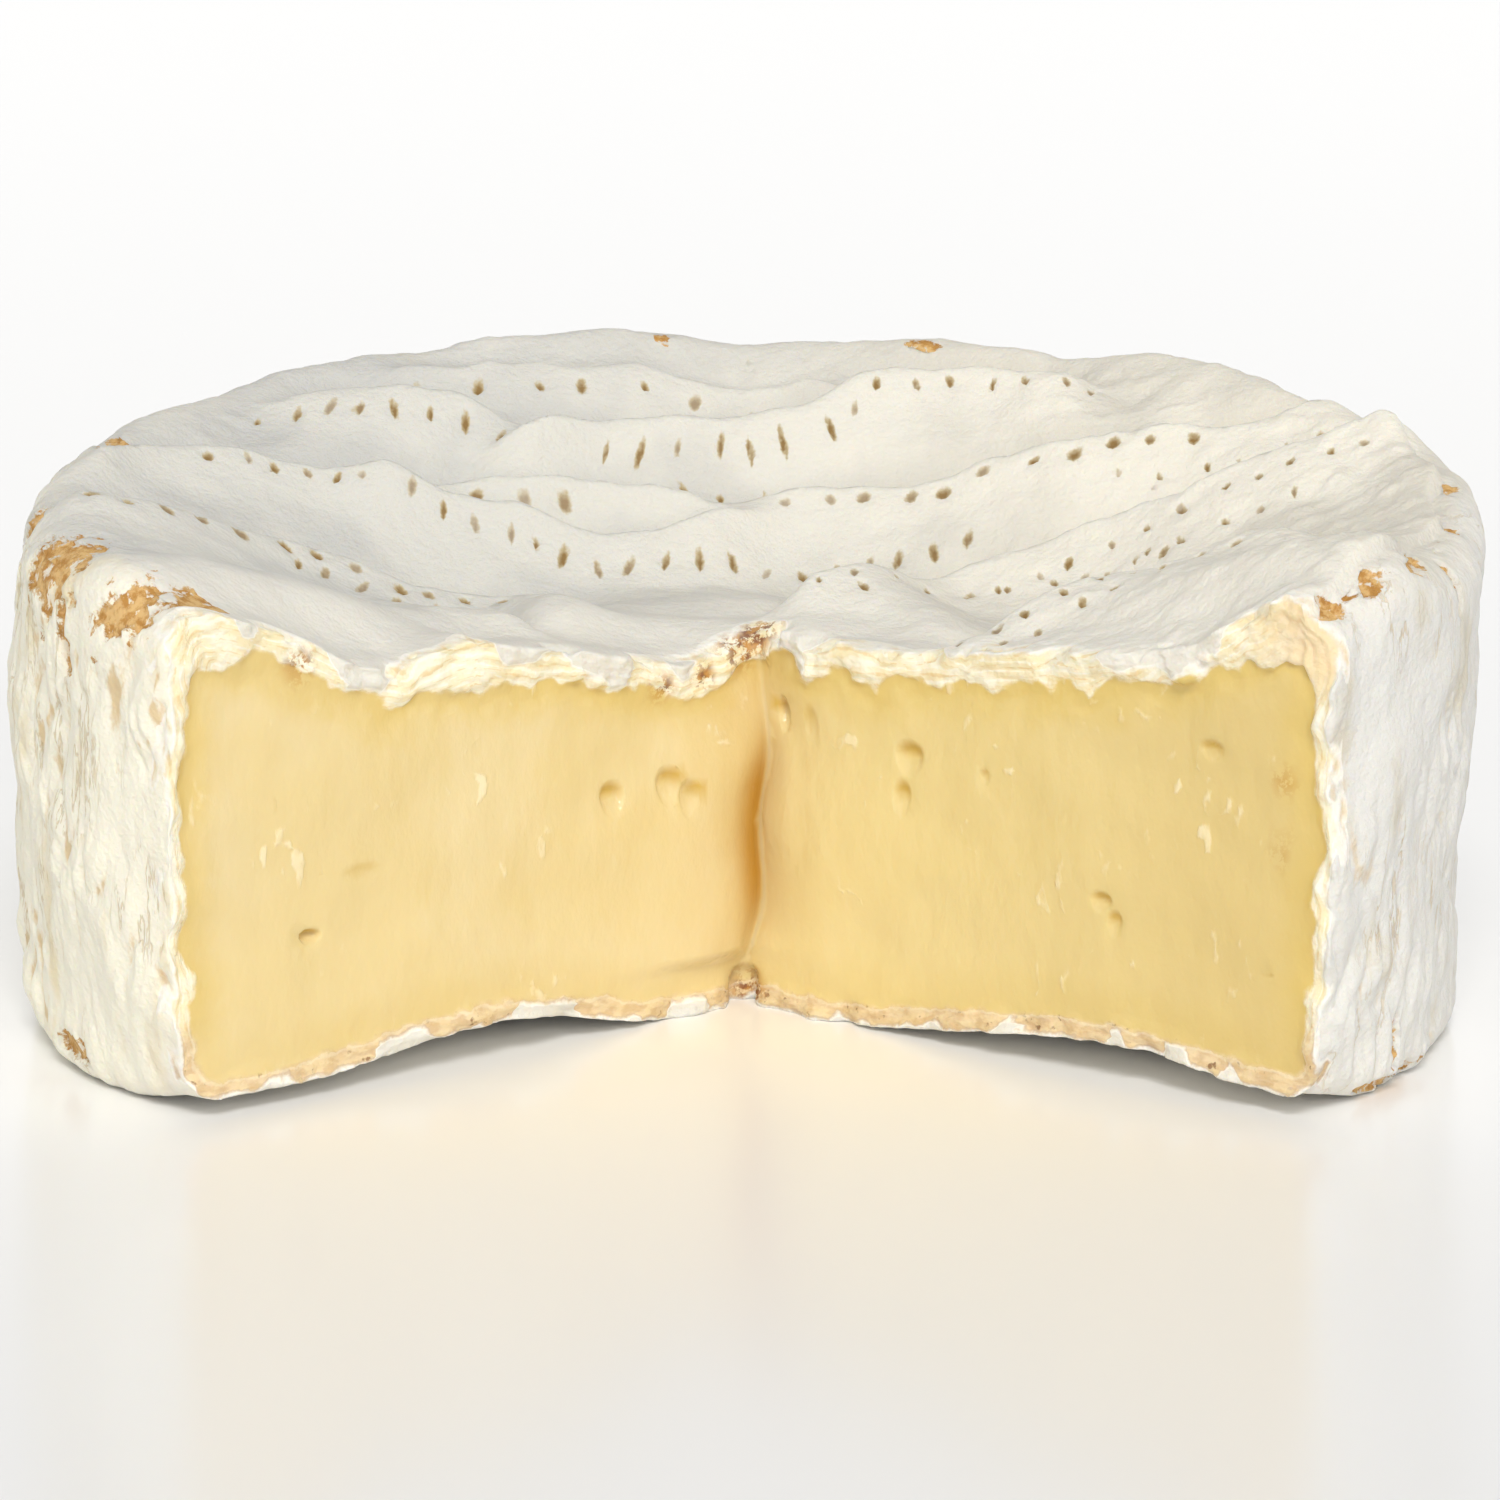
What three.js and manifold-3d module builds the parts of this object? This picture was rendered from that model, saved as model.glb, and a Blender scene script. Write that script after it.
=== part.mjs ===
// A small bloomy-rind soft cheese wheel with a wide wedge cut out of its front.
// One baked-together piece: a low drum with rounded edges, a top that has sunk into a
// shallow bowl, faint ridges left by the rack it ripened on, and an underside that has
// lifted a little along the two cut faces. Millimetres, +Z up, the cut opens towards -Y.
import * as THREE from 'three';
import { mergeVertices } from 'three/addons/utils/BufferGeometryUtils.js';
import Module from 'manifold-3d';

// Driving dimensions.
const WHEEL_RADIUS = 53.5;
const BOTTOM_TAPER = 1.3;
const BOTTOM_EDGE_RADIUS = 3;
const TOP_EDGE_RADIUS = 4.5;
const SIDE_RIM_HEIGHT = 38.2;
const BACK_RIM_RISE = 2.1;
const LEFT_CORNER_DROP = 3.8;
const RIGHT_CORNER_DROP = 0.8;
const BOWL_FLOOR_HEIGHT = 27.8;
const BOWL_FLOOR_SHARE = 0.3;
const BOWL_RIM_SHARE = 0.95;

// Ridges across the top, one value of Y for each, all running along X.
const RIDGE_LINES = [43, 34.5, 27.5, 20, 12, 4];
const RIDGE_HEIGHT = 0.8;
const RIDGE_WIDTH = 2.6;

// The missing wedge.
const WEDGE_HALF_ANGLE = THREE.MathUtils.degToRad(50);
const WEDGE_REACH = 90;
const WEDGE_FACE_BULGE = 0.7;
const UNDERSIDE_LIFT = 2.8;
const UNDERSIDE_LIFT_WIDTH = 9;

const SEGMENTS_ROUND = 80;
const CHEESE_COLOUR = 0xf0e8d6;

const smoothstep = (t) => {
  const u = Math.min(Math.max(t, 0), 1);
  return u * u * (3 - 2 * u);
};

// Angle round the wheel, 0 at +X, running from -90 through 0, 90 and 180 to 270 degrees,
// so that the jump falls in the missing wedge.
function angleRound(x, y) {
  const degrees = THREE.MathUtils.radToDeg(Math.atan2(y, x));
  return degrees > -90 ? degrees : degrees + 360;
}

function rimHeight(x, y) {
  const angle = angleRound(x, y);
  const back = Math.sin(THREE.MathUtils.degToRad(Math.min(Math.max(angle, 0), 180)));
  const leftCorner = smoothstep((angle - 175) / 45);
  const rightCorner = smoothstep(-angle / 40);
  return SIDE_RIM_HEIGHT + BACK_RIM_RISE * back
    - LEFT_CORNER_DROP * leftCorner - RIGHT_CORNER_DROP * rightCorner;
}

// Height of the sunk top: a bowl floor round the axis, rising to the rim.
function topHeight(x, y) {
  const share = Math.hypot(x, y) / WHEEL_RADIUS;
  const rise = smoothstep((share - BOWL_FLOOR_SHARE) / (BOWL_RIM_SHARE - BOWL_FLOOR_SHARE));
  const floor = BOWL_FLOOR_HEIGHT;
  let ridges = 0;
  for (const line of RIDGE_LINES) {
    ridges += Math.exp(-(((y - line) / RIDGE_WIDTH) ** 2));
  }
  const fade = smoothstep((0.98 - share) / 0.25);
  return floor + (rimHeight(x, y) - floor) * rise + RIDGE_HEIGHT * ridges * fade;
}

// How far the underside has lifted: nothing at the corners and the apex, most along the
// middle of each cut face, dying away with the distance from the face.
function undersideLift(x, y) {
  const along = Math.abs(x) * Math.sin(WEDGE_HALF_ANGLE) - y * Math.cos(WEDGE_HALF_ANGLE);
  const away = Math.abs(Math.abs(x) * Math.cos(WEDGE_HALF_ANGLE) + y * Math.sin(WEDGE_HALF_ANGLE));
  const middle = smoothstep((along - 5) / 17) * (1 - 0.5 * smoothstep((along - 34) / 16));
  return UNDERSIDE_LIFT * middle * (1 - smoothstep(away / UNDERSIDE_LIFT_WIDTH));
}

// The side leans in a little towards the underside.
function sideRadius(z) {
  return WHEEL_RADIUS - BOTTOM_TAPER * Math.max(1 - z / (SIDE_RIM_HEIGHT / 2), 0) ** 2;
}

// Half section of the drum with a flat top: from the middle of the underside out, round
// the bottom edge, up the side, round the top edge and back to the axis.
function drumSection() {
  const points = [];
  const flatRadius = sideRadius(BOTTOM_EDGE_RADIUS) - BOTTOM_EDGE_RADIUS;
  const flatSteps = 12;
  for (let i = 0; i < flatSteps; i += 1) {
    points.push(new THREE.Vector2(flatRadius * i / flatSteps, 0));
  }
  const edgeSteps = 4;
  for (let i = 0; i <= edgeSteps; i += 1) {
    const turn = Math.PI / 2 * i / edgeSteps;
    const r = flatRadius + BOTTOM_EDGE_RADIUS * Math.sin(turn);
    points.push(new THREE.Vector2(r, BOTTOM_EDGE_RADIUS * (1 - Math.cos(turn))));
  }
  const sideTop = SIDE_RIM_HEIGHT - TOP_EDGE_RADIUS;
  const sideSteps = 5;
  for (let i = 1; i < sideSteps; i += 1) {
    const z = THREE.MathUtils.lerp(BOTTOM_EDGE_RADIUS, sideTop, i / sideSteps);
    points.push(new THREE.Vector2(sideRadius(z), z));
  }
  const topRadius = WHEEL_RADIUS - TOP_EDGE_RADIUS;
  for (let i = 0; i <= edgeSteps; i += 1) {
    const turn = Math.PI / 2 * i / edgeSteps;
    const r = topRadius + TOP_EDGE_RADIUS * Math.cos(turn);
    points.push(new THREE.Vector2(r, sideTop + TOP_EDGE_RADIUS * Math.sin(turn)));
  }
  const topSteps = 17;
  for (let i = 1; i <= topSteps; i += 1) {
    points.push(new THREE.Vector2(topRadius * (1 - i / topSteps), SIDE_RIM_HEIGHT));
  }
  return points;
}

// The drum, with every point moved to the sunk top, the uneven rim and the lifted underside.
function wholeWheel() {
  const geometry = new THREE.LatheGeometry(drumSection(), SEGMENTS_ROUND);
  geometry.rotateX(Math.PI / 2);
  const position = geometry.attributes.position;
  for (let i = 0; i < position.count; i += 1) {
    const x = position.getX(i);
    const y = position.getY(i);
    const z = position.getZ(i);
    const share = z / SIDE_RIM_HEIGHT;
    const low = undersideLift(x, y) * (1 - smoothstep(share / 0.4));
    position.setZ(i, topHeight(x, y) * share + low);
  }
  return geometry;
}

// The wedge that is taken out: a tall prism whose two faces bow gently towards the gap.
function wedge() {
  const outline = new THREE.Shape();
  const sideX = Math.sin(WEDGE_HALF_ANGLE) * WEDGE_REACH;
  const sideY = -Math.cos(WEDGE_HALF_ANGLE) * WEDGE_REACH;
  const reach = WHEEL_RADIUS / WEDGE_REACH;
  const bowed = (side, share) => new THREE.Vector2(
    side * (sideX * share * reach - WEDGE_FACE_BULGE * Math.cos(WEDGE_HALF_ANGLE)),
    sideY * share * reach - WEDGE_FACE_BULGE * Math.sin(WEDGE_HALF_ANGLE),
  );
  outline.moveTo(0, 0);
  outline.splineThru([bowed(1, 0.25), bowed(1, 0.6), new THREE.Vector2(sideX * reach, sideY * reach)]);
  outline.lineTo(sideX, sideY);
  outline.lineTo(-sideX, sideY);
  outline.lineTo(-sideX * reach, sideY * reach);
  outline.splineThru([bowed(-1, 0.6), bowed(-1, 0.25), new THREE.Vector2(0, 0)]);
  const margin = 10;
  const depth = SIDE_RIM_HEIGHT + BACK_RIM_RISE + 2 * margin;
  const geometry = new THREE.ExtrudeGeometry(outline, { depth, bevelEnabled: false, curveSegments: 4 });
  geometry.translate(0, 0, -margin);
  return geometry;
}

const wasm = await Module();
wasm.setup();

// A closed manifold solid from a geometry: shared points merged, points that meet on the
// axis leave no empty triangles behind, and faces turned outwards.
function solidFrom(geometry) {
  const bare = geometry.clone();
  bare.deleteAttribute('normal');
  bare.deleteAttribute('uv');
  const merged = mergeVertices(bare, 1e-4);
  const index = merged.index.array;
  const triangles = [];
  for (let i = 0; i < index.length; i += 3) {
    const [a, b, c] = [index[i], index[i + 1], index[i + 2]];
    if (a !== b && b !== c && c !== a) {
      triangles.push(a, b, c);
    }
  }
  const vertProperties = Float32Array.from(merged.attributes.position.array);
  const outwards = new wasm.Manifold(new wasm.Mesh({
    numProp: 3, vertProperties, triVerts: Uint32Array.from(triangles),
  }));
  if (outwards.volume() > 0) {
    return outwards;
  }
  return new wasm.Manifold(new wasm.Mesh({
    numProp: 3, vertProperties, triVerts: Uint32Array.from(triangles).reverse(),
  }));
}

function geometryFrom(solid) {
  const mesh = solid.getMesh();
  const geometry = new THREE.BufferGeometry();
  geometry.setAttribute('position', new THREE.BufferAttribute(Float32Array.from(mesh.vertProperties), 3));
  geometry.setIndex(new THREE.BufferAttribute(Uint32Array.from(mesh.triVerts), 1));
  return geometry;
}

const cutWheel = geometryFrom(solidFrom(wholeWheel()).subtract(solidFrom(wedge())));
cutWheel.computeBoundingBox();
const middle = cutWheel.boundingBox.getCenter(new THREE.Vector3());
cutWheel.translate(-middle.x, -middle.y, -cutWheel.boundingBox.min.z);
cutWheel.computeVertexNormals();

const cheeseWheel = new THREE.Mesh(
  cutWheel,
  new THREE.MeshStandardMaterial({ color: CHEESE_COLOUR, roughness: 0.75, metalness: 0 }),
);
cheeseWheel.name = 'cheese_wheel';

const cheese = new THREE.Group();
cheese.add(cheeseWheel);

export default cheese;
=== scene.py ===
import math

import bpy
import numpy as np
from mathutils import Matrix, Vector


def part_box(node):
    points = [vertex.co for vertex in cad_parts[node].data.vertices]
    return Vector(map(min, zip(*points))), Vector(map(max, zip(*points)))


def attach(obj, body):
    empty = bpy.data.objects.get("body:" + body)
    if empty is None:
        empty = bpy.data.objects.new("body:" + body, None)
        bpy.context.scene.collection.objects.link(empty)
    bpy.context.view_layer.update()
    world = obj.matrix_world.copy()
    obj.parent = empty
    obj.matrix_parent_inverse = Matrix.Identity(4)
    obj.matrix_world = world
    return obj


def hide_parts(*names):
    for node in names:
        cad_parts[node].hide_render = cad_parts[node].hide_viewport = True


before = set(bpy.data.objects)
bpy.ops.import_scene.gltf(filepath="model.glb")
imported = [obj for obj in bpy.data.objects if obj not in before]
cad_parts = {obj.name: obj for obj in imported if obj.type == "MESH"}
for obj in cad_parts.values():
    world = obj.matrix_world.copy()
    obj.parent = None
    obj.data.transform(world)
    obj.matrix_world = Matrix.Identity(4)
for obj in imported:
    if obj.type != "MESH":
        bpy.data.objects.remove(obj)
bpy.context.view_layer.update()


# ---- The camera ------------------------------------------------------------------------
# A long lens a little above the table, looking straight at the gap in the wheel. Its
# target is the wheel's axis, half way up the wheel.
node_low, node_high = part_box("cheese_wheel")
wheel_radius = (node_high.x - node_low.x) / 2
axis_y = node_high.y - wheel_radius
camera_elevation = math.radians(13)
camera_distance = 0.535
target_height = 0.019
camera_target = Vector((0, axis_y, target_height))

camera_back = Vector((0, -math.cos(camera_elevation), math.sin(camera_elevation)))
bpy.ops.object.camera_add(location=camera_target + camera_back * camera_distance)
camera = bpy.context.object
camera.rotation_euler = (-camera_back).to_track_quat("-Z", "Y").to_euler()
camera.data.sensor_width = 36
camera.data.lens = 176
camera.data.clip_start = 0.01
bpy.context.scene.camera = camera


# ---- The wheel: its body ---------------------------------------------------------------
# A small soft cheese: curd poured in a round hoop and ripened on a rack, with a wide wedge
# cut out of it by a knife. Rind and inside grew as one piece, so they are one mesh here,
# shaped in millimetres about the wheel's own axis and brought to the frame at the end.
MM = 0.001
radius = wheel_radius / MM
side_height = 38.2
wedge_half_angle = math.radians(50)
bottom_edge = 1.8
top_edge = 3.2
body_grain = 0.30


def ring_selected(mesh_object, height):
    """Selects the edges that lie round a drum at one height, and stays in edit mode."""
    bpy.ops.object.mode_set(mode="EDIT")
    bpy.ops.mesh.select_all(action="DESELECT")
    bpy.ops.object.mode_set(mode="OBJECT")
    points = mesh_object.data.vertices
    for edge in mesh_object.data.edges:
        edge.select = all(abs(points[v].co.z - height) < 1e-4 for v in edge.vertices)
    bpy.ops.object.mode_set(mode="EDIT")
    bpy.ops.mesh.select_mode(type="EDGE")


bpy.ops.object.select_all(action="DESELECT")
bpy.ops.mesh.primitive_cylinder_add(vertices=192, radius=radius, depth=side_height)
wheel = bpy.context.object
wheel.name = "cut_cheese_wheel"
ring_selected(wheel, -side_height / 2)
bpy.ops.mesh.bevel(offset=bottom_edge, segments=6, affect="EDGES")
ring_selected(wheel, side_height / 2)
bpy.ops.mesh.bevel(offset=top_edge, segments=8, affect="EDGES")
bpy.ops.object.mode_set(mode="OBJECT")
wheel.location.z = side_height / 2
bpy.ops.object.transform_apply(location=True)

# The knife's wedge is a three-sided prism with its edge on the wheel's axis.
prism_reach = 80.0
even_half_corner = math.radians(30)
bpy.ops.object.select_all(action="DESELECT")
bpy.ops.mesh.primitive_cylinder_add(vertices=3, radius=prism_reach, depth=3 * side_height,
                                    location=(0, -prism_reach, side_height / 2))
prism = bpy.context.object
prism.scale.x = math.tan(wedge_half_angle) / math.tan(even_half_corner)
bpy.ops.object.transform_apply(location=True, rotation=True, scale=True)
bpy.ops.object.select_all(action="DESELECT")
wheel.select_set(True)
bpy.context.view_layer.objects.active = wheel
cut = wheel.modifiers.new("cut", "BOOLEAN")
cut.operation = "DIFFERENCE"
cut.solver = "EXACT"
cut.object = prism
bpy.ops.object.modifier_apply(modifier=cut.name)
bpy.data.objects.remove(prism)

# An even skin of small faces over the whole body, fine enough to hold wrinkles.
skin = wheel.modifiers.new("skin", "REMESH")
skin.mode = "VOXEL"
skin.voxel_size = body_grain
bpy.ops.object.modifier_apply(modifier=skin.name)


def eased(t):
    """0 below 0 and 1 above 1, with a slow start and end between."""
    t = np.clip(t, 0, 1)
    return t * t * (3 - 2 * t)


def hills(points, size, seed):
    """Smooth random hills and hollows, between about -1 and 1 and size millimetres wide."""
    spot = points / np.asarray(size, float)
    cell = np.floor(spot).astype(np.int64)
    part = spot - cell
    ease = part ** 3 * (part * (part * 6 - 15) + 10)
    total = np.zeros(len(points))
    for corner in np.ndindex(2, 2, 2):
        code = (cell + corner) @ np.array([73856093, 19349663, 83492791]) + seed * 2654435761
        code = ((code & 0xFFFFFFFF) ^ (code >> 13 & 0x7FFFF)) * 1274126177 & 0xFFFFFFFF
        code ^= code >> 15
        slopes = np.stack([(code >> shift & 255) / 127.5 - 1 for shift in (0, 8, 16)], 1)
        weight = np.prod(np.where(corner, ease, 1 - ease), axis=1)
        total += weight * np.einsum("ij,ij->i", slopes, part - corner)
    return total * 1.5


def layered_hills(points, size, seed, layers=3):
    """Hills with smaller hills on them, each layer half the size and half the height."""
    size = np.asarray(size, float)
    total = np.zeros(len(points))
    for layer in range(layers):
        total += hills(points, size / 2 ** layer, seed + 17 * layer) / 2 ** layer
    return total


def creases(points, size, seed):
    """Sharp-bottomed folds: 0 in a fold, rising to 1 between folds."""
    return np.clip(np.abs(hills(points, size, seed)) * 2.2, 0, 1)


# ---- The wheel: its sunk top -----------------------------------------------------------
# As the inside ripens and softens, the top sinks into a shallow bowl. The rack the wheel
# lay on left long ridges across it, steep behind and gentle in front.
back_rim_rise = 2.1
left_corner_drop = 2.1
right_corner_drop = 0.8
bowl_floor = 27.8
bowl_start = 0.30
bowl_end = 0.95
hollow_depth = 2.2
front_swell = 1.9
front_swell_behind = 9
rim_step_at = 49.2
rim_step_drop = 1.0
ridge_front = 6.0
ridge_back = 1.3
ridge_strength = 2.1
ridge_hollow = 0.42
ridge_hollow_behind = 3.6
crest_round = 0.3
crest_step = 0.25
crest_overrun = 4
top_waves = 0.5
flake_height = 0.24

# Each ridge: points along its crest seen from above, and its height.
ridges = {
    "rim": ([(-30, 38), (-18, 42), (-9, 43.5), (4, 43.5), (12, 43)], 0.8),
    "back_left": ([(-37, 30), (-28, 33), (-20, 34.2), (-13, 33.4)], 1.2),
    "back": ([(-21, 29), (-14, 32.5), (-8, 34.6), (0, 36.6), (5, 37.3), (10, 40.3), (17, 40.5),
              (27, 37)], 1.5),
    "long": ([(-31, 19), (-24, 23), (-16, 25.5), (-8, 27), (4, 28.3), (14, 27.3), (26, 25.4),
              (38, 23.4), (48, 24)], 1.5),
    "left": ([(-51, 3), (-46, 13), (-40, 17), (-32, 18.3), (-20, 19.5), (-10, 20.3), (-5, 22.8),
              (2, 26)], 1.4),
    "front_left": ([(-51, -8), (-43, -5), (-37, 0.5), (-30, 5.3), (-25, 4.5), (-20, 7.5),
                    (-12, 2.5)], 1.3),
    "tear_left": ([(-27, 0), (-20, -3.5), (-13, -8)], 0.8),
    "right": ([(0, 2), (6, 6.5), (12, 11.8), (18, 15.3), (28, 13.8), (40, 12.2), (51, 12)], 1.6),
    "front_right": ([(14, -11), (20, -7.5), (28, -6.3), (34, -7), (41, -11)], 1.4),
}


def crest_run(name):
    """A ridge's crest as close points along x, its corners eased and its line wandering."""
    points = np.array(ridges[name][0], float)
    xs = np.arange(points[0, 0] - crest_overrun, points[-1, 0] + crest_overrun, crest_step)
    ys = np.mean([np.interp(xs + near, points[:, 0], points[:, 1]) for near in (-3, -1.5, 0, 1.5, 3)],
                 axis=0)
    row = np.stack([xs, np.full_like(xs, points[0, 1]), np.zeros_like(xs)], 1)
    return xs, ys + 0.8 * hills(row, 7.0, 11) + 0.3 * hills(row, 2.6, 12)


crests = {name: crest_run(name) for name in ridges}


# How far the rim stands above its even height, at angles round the wheel.
rim_bumps = np.array([(-40, 0), (-8, 0.3), (2, 1.9), (12, 1.3), (25, 0.1), (33, 0.0), (39, 1.6), (45, 2.1),
                      (53, 1.6), (62, 0.2), (73, 1.0), (80, 0.6), (91, 0.1), (101, 1.4), (129, 1.4),
                      (146, 0.4), (165, 0)])

# Height of the top skin along each cut, left (-1) and right (1), at distances out from the
# wheel's axis.
cut_edges = {
    -1: [(0, 27.8), (7, 26.6), (12, 28.0), (18, 29.4), (26, 31.2), (32, 29.9), (36, 30.8),
         (41, 33.2), (46, 35.4), (50, 36.6), (54, 36.2)],
    1: [(0, 28.2), (9, 28.8), (14, 28.5), (23, 29.2), (28, 30.3), (34, 31.2), (40, 32.6), (44, 35.0),
        (48, 37.3), (51, 36.8), (54, 36.2)],
}
cut_edge_reach = 8.0


def beside_cut(x, y, side):
    """How far a point lies out along a cut face, and how far it stands out in front of it."""
    along = side * x * math.sin(wedge_half_angle) - y * math.cos(wedge_half_angle)
    ahead = -side * x * math.cos(wedge_half_angle) - y * math.sin(wedge_half_angle)
    return along, ahead


def ahead_of_cut(x, y):
    """How far a point stands out in front of the cut face on its own side."""
    return beside_cut(np.abs(x), y, 1)[1]


def ridge_waves(x, y):
    """The ridges, about 1 high along their crests, with a hollow behind each."""
    total = np.zeros_like(x)
    for name, (points, tall) in ridges.items():
        ahead = np.interp(x, *crests[name]) - y
        off = np.hypot(ahead, crest_round) - crest_round
        length = ridge_back + (ridge_front - ridge_back) * eased(0.5 + ahead)
        ends = eased((x - points[0][0] + 2) / 7) * eased((points[-1][0] + 2 - x) / 7)
        hollow = ridge_hollow * np.exp(-((ahead + ridge_hollow_behind) / 2.3) ** 2)
        total += tall * ends * (np.exp(-(off / length) ** 1.2) - hollow)
    return total


def rim_height(x, y):
    """Height of the rim: highest at the back, uneven, and lower at the two cut corners."""
    angle = np.degrees(np.arctan2(y, x))
    angle = np.where(angle > -90, angle, angle + 360)
    back = np.sin(np.radians(np.clip(angle, 0, 180)))
    return (side_height + back_rim_rise * back + np.interp(angle, rim_bumps[:, 0], rim_bumps[:, 1])
            - left_corner_drop * eased((angle - 182) / 36) - right_corner_drop * eased(-angle / 40))


def top_height(x, y):
    """Height of the top skin: the bowl, its ridges, and the small unevenness of the rind."""
    flat = np.stack([x, y, np.zeros_like(x)], 1)
    share = np.hypot(x, y) / radius
    rise = eased((share - bowl_start) / (bowl_end - bowl_start))
    height = bowl_floor + (rim_height(x, y) - bowl_floor) * rise
    sunk = eased((share - 0.18) / 0.2) * eased((0.97 - share) / 0.13) * eased((y + 20) / 26)
    height -= hollow_depth * sunk
    swell = np.exp(-((ahead_of_cut(x, y) + front_swell_behind) / 5) ** 2)
    height += front_swell * swell * eased((np.abs(x) - 6) / 10)

    # The height along the cuts is given, and the ridges grow weaker towards it.
    free = np.ones_like(x)
    for side, edge in cut_edges.items():
        along, ahead = beside_cut(x, y, side)
        near = (1 - eased(np.abs(ahead) / cut_edge_reach)) * eased(0.5 + side * x / 3)
        free -= 0.75 * near
        edge = np.array(edge, float)
        height += near * (np.interp(along, edge[:, 0], edge[:, 1]) - height)
    free *= eased((1.01 - share) / 0.12)  # the ridges end at the rim
    height += ridge_strength * ridge_waves(x, y) * free
    height += top_waves * layered_hills(flat, (15, 9, 1), 13)
    height += (0.12 + 0.1 * eased(x / 20)) * layered_hills(flat, 3.4, 14, layers=2)

    # The rind is flakiest on the right and near the rim.
    flaky = np.clip(eased((x - 2) / 34) * 0.75 + eased((share - 0.82) / 0.12), 0, 1)
    flaky = flaky * eased((0.93 - share) / 0.05)
    folds = 1 - creases(flat + 1.2 * hills(flat, 3.5, 15)[:, None], (4.2, 1.7, 1), 16)
    height += flake_height * flaky * (0.5 - folds)
    height += flake_height * flaky * eased((hills(flat, (2.6, 1.6, 1), 18) - 0.1) / 0.3)

    # On the right the top skin ends in a flaky step, a little in from the edge.
    turn = np.degrees(np.arctan2(y, x))
    step = eased((np.hypot(x, y) - rim_step_at - 0.9 * hills(flat, 6, 17)) / 0.5)
    return height - rim_step_drop * step * eased((33 - np.abs(turn + 14)) / 12)


# ---- The wheel: its side wall ----------------------------------------------------------
# The hoop leaves the wall upright. As the wheel dries and slumps, the rind there shrinks
# into long upright wrinkles. It tucks in above the table, and most at the cut corners.
bottom_taper = 1.3
corner_tuck = 1.1
corner_foot_tuck = 0.7
corner_turn = math.radians(11)
left_set_in = 0.9
right_set_in = 0.6
right_waist = 1.6
plate_fold = 0.6
small_fold = 0.3
fold_level = 0.6
wall_waves = 0.6
wall_grain = 0.06


def wall_folds(angle, z):
    """The upright folds of the rind on the wall: below -0.4 deep in a fold, above 0 between."""
    spot = np.stack([radius * angle, z, np.zeros_like(z)], 1)
    lean = spot + np.stack([1.8 * hills(spot, (6, 7, 1), 21), 2.4 * hills(spot, (5, 8, 1), 26),
                            np.zeros_like(z)], 1)
    plates = creases(lean, (3.6, 9, 1), 22)
    small = creases(lean + 0.5, (1.6, 4.2, 1), 23)
    patch = 0.3 + 0.7 * eased((hills(spot, (13, 12, 1), 27) + 0.25) / 0.5)
    patch *= (1 - 0.5 * eased((z - 30) / 6)) * (1 - 0.25 * np.exp(-((angle + 0.45) / 0.5) ** 2))
    return patch * (plate_fold * (plates - fold_level) + small_fold * (small - fold_level))


def wall_wrinkles(angle, z):
    """Height of the wrinkled rind on the wall, about 0 on average, in millimetres."""
    spot = np.stack([radius * angle, z, np.zeros_like(z)], 1)
    slow = layered_hills(spot, (13, 11, 1), 24, layers=3)
    fine = layered_hills(spot, (1.1, 2.2, 1), 25, layers=2)
    return wall_folds(angle, z) + wall_waves * slow + wall_grain * fine


def wall_radius(angle, z):
    """Distance of the wall from the axis: tapered, tucked in at the corners, and wrinkled."""
    low = np.clip(1 - z / (side_height / 2), 0, 1)
    to_corner = np.minimum(np.abs(angle + math.pi / 2 - wedge_half_angle),
                           np.abs(angle + math.pi / 2 + wedge_half_angle))
    corner = np.exp(-(to_corner / corner_turn) ** 2)
    set_in = left_set_in * eased((z - 24) / 12) * np.exp(-((math.pi - np.abs(angle)) / 0.45) ** 2)
    waist = right_waist * np.exp(-((z - 11) / 9) ** 2)
    set_in += (right_set_in + waist) * np.exp(-(angle / 0.5) ** 2)
    tuck = corner * (corner_tuck + corner_foot_tuck * low ** 3)
    return radius - set_in - bottom_taper * low ** 2 - tuck + wall_wrinkles(angle, z)


# ---- The wheel: its underside ----------------------------------------------------------
# It lies flat, except along the two cut faces, where the freed rind has arched up a little
# between the corners and the middle of the wheel.
underside_lift = 2.8
lift_width = 9.0
arch_start = 6
arch_peaks = {-1: 24, 1: 34}


def underside_height(x, y):
    """How far the underside has lifted off the table."""
    height = np.zeros_like(x)
    for side, peak in arch_peaks.items():
        along, ahead = beside_cut(x, y, side)
        arch = eased((along - arch_start) / (peak - arch_start))
        arch *= 1 - 0.5 * eased((along - peak) / 18)
        near = 1 - eased(np.abs(ahead) / lift_width)
        height = np.maximum(height, underside_lift * arch * near * (side * x > 0))
    return height


# ---- The wheel: its torn rind ----------------------------------------------------------
# The knife tears the firm rind where it cuts through the soft inside. The white outside
# hangs over the cut in tongues, and under it the rind shows translucent cream layers.
rind_at_top = 2.5
rind_at_side = 1.35
rind_at_foot = 1.55
rind_least = 0.35
corner_thickening = 1.7
white_tongues = 2.9
white_scallops = 1.1

# Where the torn rind is thicker: side, how much is added, and place out along the face.
thick_spots = [(-1, 1.5, 48.0), (-1, 1.0, 26.0), (1, 5.2, 48.3)]
thick_spot_reach = 2.9


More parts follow.
